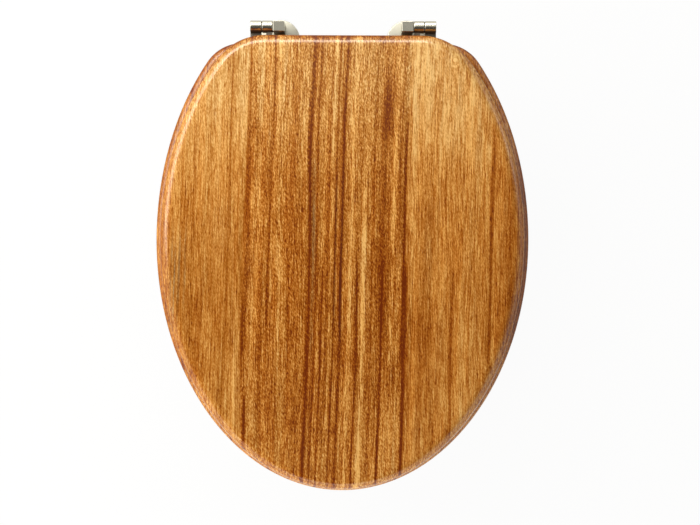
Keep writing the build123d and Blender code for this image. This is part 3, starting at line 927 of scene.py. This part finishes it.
RING_WOOD = LacqueredWood(
    name="ring_lacquered_wood",
    shift=(37.0, 0.0, 90.0),
    knot=(-140.0, -330.0, 31.0),
    back_pale_and_light=0.0,
    fade=0.0,
    coat_roughness=0.30,
    staves=(
        Stave(left_edge=-400.0, tone=0.50, fleck=1.00, fibre=1.10, gold=0.75),
        Stave(left_edge=-70.0, tone=0.58, fleck=0.90, fibre=1.10),
        Stave(left_edge=96.0, tone=0.58, fleck=1.20, fibre=0.90),
    ),
    streaks=(
        Streak(-70.0, 1.8, -0.28),
        Streak(-118.0, 2.4, -0.20),
        Streak(-30.0, 2.2, -0.22),
        Streak(18.0, 1.6, -0.24),
        Streak(52.0, 3.0, 0.12),
        Streak(96.0, 1.8, -0.30),
        Streak(141.0, 2.2, -0.22),
    ),
    # The ring's one mark, a darker band along its right edge, is painted shade.
    marks=(Mark(214.0, 9.0, -0.16, 140.0, 320.0),),
)

BASE_NICKEL = PolishedMetal("base_nickel", satin_below=0.011)
# The leaves are dark from Y -6 mm to 5.6 mm, over the neck and the front of the barrel: painted shade.
LEAF_NICKEL = PolishedMetal("leaf_nickel", roughness=0.24, raw_before=0.0056, raw_after=-0.006)
GROUND_STEEL = PolishedMetal(
    "ground_steel", bright=(0.62, 0.62, 0.61, 1.0), dull=(0.52, 0.52, 0.51, 1.0), roughness=0.28
)
ZINC_PLATE = PolishedMetal(
    "zinc_plate", bright=(0.66, 0.67, 0.67, 1.0), dull=(0.55, 0.55, 0.52, 1.0), roughness=0.34, smear=0.3
)
WHITE_NYLON = Moulded("moulded_white_nylon", translucent=0.15)
# Near black, so that the narrow joints between the barrels read dark: painted shade.
SHADED_BUSH_NYLON = Moulded(
    "moulded_bush_nylon_painted_shade", pale=(0.040, 0.039, 0.037, 1.0), deep=(0.022, 0.021, 0.020, 1.0), roughness=0.38
)
GREY_RUBBER = Moulded(
    "moulded_grey_rubber",
    pale=(0.135, 0.135, 0.138, 1.0),
    deep=(0.085, 0.085, 0.087, 1.0),
    roughness=0.72,
    pebble=0.4,
)
SOFT_PAD = Moulded(
    "moulded_soft_pad",
    pale=(0.78, 0.77, 0.72, 1.0),
    deep=(0.68, 0.66, 0.60, 1.0),
    roughness=0.5,
    translucent=0.3,
)


def dress(node: str, finish: Finish) -> None:
    """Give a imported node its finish.

    Args:
        node: the node's name.
        finish: the finish for its whole surface.
    """
    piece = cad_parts[node]
    for slot in piece.material_slots:
        slot.material = finish.material()
    LOG.info("dressed %s with %s", node, finish.name)


def add_piece(name: str, mesh: bpy.types.Mesh, body: Body, finish: Finish) -> bpy.types.Object:
    """Add a new piece to the scene.

    Args:
        name: the piece's name.
        mesh: its mesh, in the part's frame.
        body: the body that it rides on.
        finish: its finish.

    Returns:
        The new object.
    """
    piece = bpy.data.objects.new(name, mesh)
    bpy.context.scene.collection.objects.link(piece)
    mesh.materials.append(finish.material())
    mesh.polygons.foreach_set("use_smooth", [True] * len(mesh.polygons))
    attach(piece, body.value)
    LOG.info("added %s on %s", name, body.value)
    return piece


@dataclass
class Boards:
    """The two wooden boards: the lid and the ring under it."""

    finishes: dict[str, Finish] = field(default_factory=lambda: {"lid": LID_WOOD, "seat_ring": RING_WOOD})

    def build(self) -> None:
        """Dress both boards."""
        for node, finish in self.finishes.items():
            dress(node, finish)


@dataclass
class Hinge:
    """One of the two hinges: base, pin, bushes and leaves."""

    side: Side

    def build(self) -> None:
        """Dress the hinge's nodes on this side."""
        dress(f"hinge_base_{self.side.label}", BASE_NICKEL)
        for stem in ("seat_leaf", "lid_leaf"):
            dress(f"{stem}_{self.side.label}", LEAF_NICKEL)
        dress(f"hinge_pin_{self.side.label}", GROUND_STEEL)
        # The bushes are dressed near black, which paints shade in the narrow joints between the barrels.
        for stem in ("seat_bush", "lid_bush"):
            dress(f"{stem}_{self.side.label}", SHADED_BUSH_NYLON)


@dataclass
class BowlFixing:
    """What clamps one hinge base to the bowl: gasket, stud, cone washer, washer and wing nut."""

    side: Side
    thread_start: float = -0.0105
    thread_pitch: float = 1.25 * MM
    thread_root: float = 3.55 * MM
    thread_crest: float = 4.0 * MM
    root_share: float = 0.46
    crest_share: float = 0.08
    steps_per_turn: int = 32

    def build(self) -> None:
        """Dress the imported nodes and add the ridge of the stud's thread."""
        label = self.side.label
        dress(f"base_gasket_{label}", GREY_RUBBER)
        dress(f"cone_washer_{label}", GREY_RUBBER)
        dress(f"stud_{label}", ZINC_PLATE)
        dress(f"flat_washer_{label}", ZINC_PLATE)
        dress(f"wing_nut_{label}", WHITE_NYLON)
        add_piece(f"stud_thread_{label}", self.thread(), Body.HINGE_POSTS, ZINC_PLATE)

    def thread(self) -> bpy.types.Mesh:
        """Return the helical ridge of the stud's thread, which fades in and out at its ends."""
        low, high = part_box(f"stud_{self.side.label}")
        centre_x = (low.x + high.x) / 2
        centre_y = (low.y + high.y) / 2
        end = low.z + self.thread_pitch
        turns = (self.thread_start - end) / self.thread_pitch
        count = int(turns * self.steps_per_turn)
        section = (
            (self.thread_root, -self.root_share),
            (self.thread_crest, -self.crest_share),
            (self.thread_crest, self.crest_share),
            (self.thread_root, self.root_share),
        )
        mesh = bmesh.new()
        rows = []
        for index in range(count + 1):
            angle = 2 * math.pi * index / self.steps_per_turn
            level = self.thread_start - self.thread_pitch * index / self.steps_per_turn
            fade = min(1.0, min(index, count - index) / self.steps_per_turn)
            row = []
            for radius, rise in section:
                reach = self.thread_root + (radius - self.thread_root) * fade
                row.append(mesh.verts.new((
                    centre_x + reach * math.cos(angle),
                    centre_y + reach * math.sin(angle),
                    level + rise * self.thread_pitch,
                )))
            rows.append(row)
        for before, after in zip(rows, rows[1:]):
            for index in range(len(section)):
                follow = (index + 1) % len(section)
                mesh.faces.new((before[index], before[follow], after[follow], after[index]))
        mesh.faces.new(rows[0])
        mesh.faces.new(reversed(rows[-1]))
        bmesh.ops.recalc_face_normals(mesh, faces=mesh.faces)
        result = bpy.data.meshes.new(f"stud_thread_{self.side.label}")
        mesh.to_mesh(result)
        mesh.free()
        return result


@dataclass
class Buffers:
    """The soft feet under the ring, the soft pads under the lid, and the screws of the whole part."""

    spots: tuple[str, ...] = ("front_left", "front_right", "back_left", "back_right")
    screw_nodes: tuple[str, ...] = (
        "seat_buffer_screws",
        "lid_buffer_screws",
        "seat_leaf_screws",
        "lid_leaf_screws",
        "grub_screws",
    )

    def build(self) -> None:
        """Dress the pads and the screws."""
        for spot in self.spots:
            dress(f"seat_buffer_{spot}", SOFT_PAD)
            dress(f"lid_buffer_{spot}", SOFT_PAD)
        for node in self.screw_nodes:
            dress(node, ZINC_PLATE)


@dataclass(frozen=True)
class Softbox:
    """A soft lamp: place, target and sides in metres, power in watts, and whether gloss mirrors it."""

    name: str
    place: tuple[float, float, float]
    target: tuple[float, float, float]
    sides: Pair
    power: float
    mirrored: bool = True

    def build(self, colour: Colour) -> None:
        """Hang the lamp.

        Args:
            colour: the colour of its light.
        """
        lamp = bpy.data.lights.new(self.name, "AREA")
        lamp.shape = "RECTANGLE"
        lamp.size, lamp.size_y = self.sides
        lamp.energy = self.power
        lamp.color = colour[:3]
        holder = bpy.data.objects.new(self.name, lamp)
        bpy.context.scene.collection.objects.link(holder)
        holder.location = self.place
        aim = Vector(self.target) - Vector(self.place)
        holder.rotation_euler = aim.to_track_quat("-Z", "Y").to_euler()
        holder.visible_camera = False
        holder.visible_glossy = self.mirrored


@dataclass(frozen=True)
class Glow:
    """A soft pale patch of the room: direction, inner and outer angle in degrees, and strength."""

    azimuth: float
    elevation: float
    inner: float
    outer: float
    strength: float

    def wire(self, graph: Graph, direction: Socket) -> Socket:
        """Return the patch's brightness in a direction."""
        azimuth, elevation = math.radians(self.azimuth), math.radians(self.elevation)
        centre = (
            math.cos(elevation) * math.cos(azimuth),
            math.cos(elevation) * math.sin(azimuth),
            math.sin(elevation),
        )
        made = graph.node("ShaderNodeVectorMath", operation="DOT_PRODUCT")
        graph.feed(made.inputs[0], direction)
        graph.feed(made.inputs[1], centre)
        near, far = math.cos(math.radians(self.inner)), math.cos(math.radians(self.outer))
        return graph.ease(made.outputs["Value"], far, near, 0.0, self.strength)


@dataclass
class Studio:
    """A pale floor, a white cove round it, soft lamps and a camera straight above the lid.

    Lengths are in metres and the camera's roll in degrees. The cove's edge and top are heights of a
    direction of length one.
    """

    floor_drop: float = 0.002
    floor_size: float = 14.0
    floor_white: float = 0.95
    floor_pale: Colour = (0.85, 0.85, 0.85, 1.0)
    cloth_dark: Colour = (0.06, 0.06, 0.06, 1.0)
    cloth_front: float = -0.42
    cloth_back: float = -0.24
    middle: Pair = (0.0076, -0.2235)
    camera_height: float = 1.416
    camera_lens: float = 72.0
    camera_roll: float = 0.227
    softboxes: tuple[Softbox, ...] = (
        Softbox(
            name="back_softbox",
            place=(-0.20, 0.62, 0.58),
            target=(0.0, 0.0, 0.05),
            sides=(0.9, 0.40),
            power=7.0,
        ),
        Softbox(
            name="left_softbox",
            place=(-0.80, 0.20, 0.50),
            target=(-0.1, -0.1, 0.05),
            sides=(0.9, 0.52),
            power=5.7,
        ),
        Softbox(
            name="front_fill",
            place=(-0.55, -1.05, 0.42),
            target=(0.0, -0.4, 0.0),
            sides=(0.8, 0.4),
            power=6.4,
            mirrored=False,
        ),
    )
    ambient: float = 0.02
    backdrop: float = 0.98
    cove_edge: float = 0.19
    cove_top: float = 0.29
    light: Colour = (1.0, 0.975, 0.88, 1.0)
    glows: tuple[Glow, ...] = (
        Glow(azimuth=90.0, elevation=68.0, inner=12.0, outer=17.0, strength=0.50),
        Glow(azimuth=62.0, elevation=68.0, inner=5.0, outer=12.0, strength=0.25),
        Glow(azimuth=118.0, elevation=68.0, inner=5.0, outer=12.0, strength=0.25),
        Glow(azimuth=90.0, elevation=10.0, inner=15.0, outer=40.0, strength=0.4),
        Glow(azimuth=158.0, elevation=30.0, inner=15.0, outer=40.0, strength=0.6),
        Glow(azimuth=265.0, elevation=2.0, inner=16.0, outer=34.0, strength=1.8),
        Glow(azimuth=222.0, elevation=2.0, inner=12.0, outer=40.0, strength=1.2),
        Glow(azimuth=318.0, elevation=2.0, inner=12.0, outer=40.0, strength=0.9),
        Glow(azimuth=270.0, elevation=72.0, inner=6.0, outer=16.0, strength=0.08),
        Glow(azimuth=0.0, elevation=5.0, inner=20.0, outer=60.0, strength=0.3),
        Glow(azimuth=22.0, elevation=16.0, inner=5.0, outer=18.0, strength=1.8),
    )

    def build(self) -> None:
        """Set up floor, world, lamps and camera."""
        self.floor()
        self.world()
        for softbox in self.softboxes:
            softbox.build(self.light)
        self.camera()
        bpy.context.scene.view_settings.view_transform = "Standard"

    @staticmethod
    def rays(graph: Graph) -> tuple[Socket, Socket]:
        """Return a mask of the eye's own rays, and one that adds the rays from mirrors and clear pieces.

        Args:
            graph: the tree of the floor or the world.

        Returns:
            Both masks.
        """
        path = graph.node("ShaderNodeLightPath").outputs
        mirrored = graph.math("MAXIMUM", path["Is Glossy Ray"], path["Is Transmission Ray"])
        return path["Is Camera Ray"], graph.math("MAXIMUM", path["Is Camera Ray"], mirrored)

    def floor(self) -> None:
        """Lay the floor just below the studs."""
        level = CAD_BOX[0].z - self.floor_drop
        half = self.floor_size / 2
        mesh = bpy.data.meshes.new("floor")
        corners = [(-half, -half, level), (half, -half, level), (half, half, level), (-half, half, level)]
        mesh.from_pydata(corners, [], [(0, 1, 2, 3)])
        mesh.materials.append(self.floor_material())
        floor = bpy.data.objects.new("floor", mesh)
        bpy.context.scene.collection.objects.link(floor)

    def floor_material(self) -> bpy.types.Material:
        """Return the floor's material: white to eye and mirrors, a dark cloth to light at the back."""
        material = bpy.data.materials.new("white_floor")
        material.use_nodes = True
        graph = Graph(material.node_tree)
        material.node_tree.nodes.remove(material.node_tree.nodes["Principled BSDF"])
        diffuse = graph.node("ShaderNodeBsdfDiffuse")
        eye, seen = self.rays(graph)
        _, depth, _ = graph.parts(graph.node("ShaderNodeTexCoord").outputs["Object"])
        bare = graph.ease(depth, self.cloth_front, self.cloth_back, 1.0, 0.0)
        pale = graph.math("MAXIMUM", eye, bare)
        graph.feed(diffuse.inputs["Color"], graph.mix(pale, self.cloth_dark, self.floor_pale))
        glow = graph.node("ShaderNodeEmission")
        glow.inputs["Strength"].default_value = 1.0
        graph.feed(glow.inputs["Color"], graph.mix(eye, self.light, WHITE))
        blend = graph.node("ShaderNodeMixShader")
        graph.feed(blend.inputs[0], graph.math("MULTIPLY", seen, self.floor_white))
        graph.feed(blend.inputs[1], diffuse.outputs[0])
        graph.feed(blend.inputs[2], glow.outputs[0])
        output = material.node_tree.nodes["Material Output"]
        graph.feed(output.inputs["Surface"], blend.outputs[0])
        return material

    def world(self) -> None:
        """Show a white cove to eye and mirrors, and light the dark room by soft patches."""
        world = bpy.data.worlds.new("studio")
        bpy.context.scene.world = world
        world.use_nodes = True
        graph = Graph(world.node_tree)
        direction = graph.node("ShaderNodeTexCoord").outputs["Generated"]
        patches = [glow.wire(graph, direction) for glow in self.glows]
        background = world.node_tree.nodes["Background"]
        eye, seen = self.rays(graph)
        _, _, height = graph.parts(direction)
        cove = graph.math("MULTIPLY", seen, graph.ease(height, self.cove_edge, self.cove_top, 1.0, 0.0))
        graph.feed(background.inputs["Color"], graph.mix(eye, self.light, WHITE))
        room = graph.total(self.ambient, *patches)
        dark = graph.math("MULTIPLY", room, graph.math("SUBTRACT", 1.0, cove))
        graph.feed(background.inputs["Strength"], graph.math("MULTIPLY_ADD", cove, self.backdrop, dark))

    def camera(self) -> None:
        """Point the camera straight down at the lid."""
        data = bpy.data.cameras.new("camera")
        data.lens = self.camera_lens
        camera = bpy.data.objects.new("camera", data)
        bpy.context.scene.collection.objects.link(camera)
        camera.location = (*self.middle, self.camera_height)
        camera.rotation_euler = (0.0, 0.0, math.radians(self.camera_roll))
        bpy.context.scene.camera = camera


def main() -> None:
    """Dress the part piece by piece and set the studio up round it."""
    logging.basicConfig(level=logging.INFO, format="%(name)s: %(message)s")
    Boards().build()
    for side in Side:
        Hinge(side).build()
        BowlFixing(side).build()
    Buffers().build()
    Studio().build()


if __name__ == "__main__":
    main()
